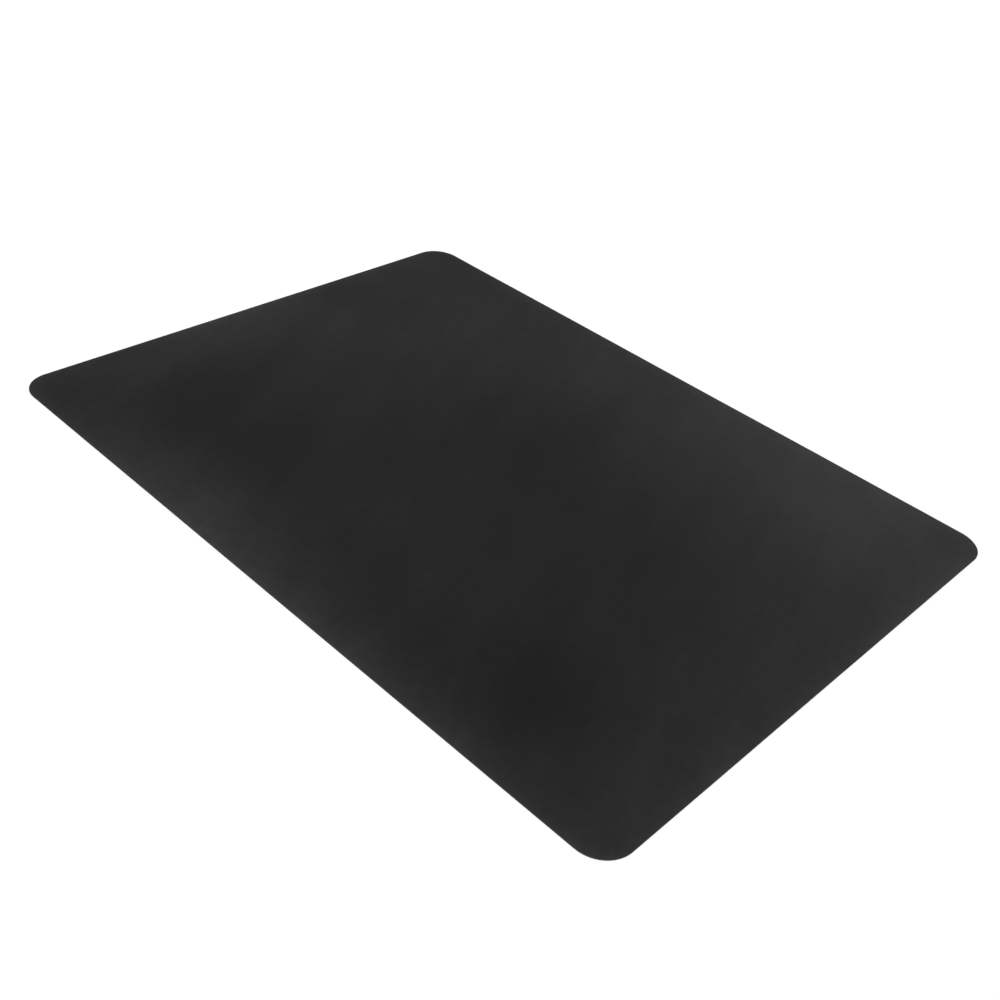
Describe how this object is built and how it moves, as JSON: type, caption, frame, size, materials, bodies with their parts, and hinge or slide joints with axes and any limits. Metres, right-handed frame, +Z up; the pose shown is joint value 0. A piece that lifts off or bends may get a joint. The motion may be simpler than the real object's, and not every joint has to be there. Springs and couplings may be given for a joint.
{
  "type": "chair mat",
  "caption": "Flat rectangular chair mat with round corners for hard floors: a matt hard wearing layer, a stiff core and a soft grip backing, laminated into one thin black sheet.",
  "frame": {"origin": "middle of the underside, where the mat lies on the floor", "axes": "+Z up through the thickness, +X along the long side, +Y along the short side"},
  "size_m": [1.2192, 0.9144, 0.002],
  "materials": {
    "wear_surface": "matt black hard PVC with a fine pebbled emboss and a low sheen",
    "core": "charcoal black filled PVC, seen only at the cut edge",
    "grip": "dull black soft PVC with a shallow moulded grip pattern"
  },
  "bodies": {
    "root": {"wear_layer": "wear_surface", "core_sheet": "core", "grip_backing": "grip"}
  },
  "joints": []
}
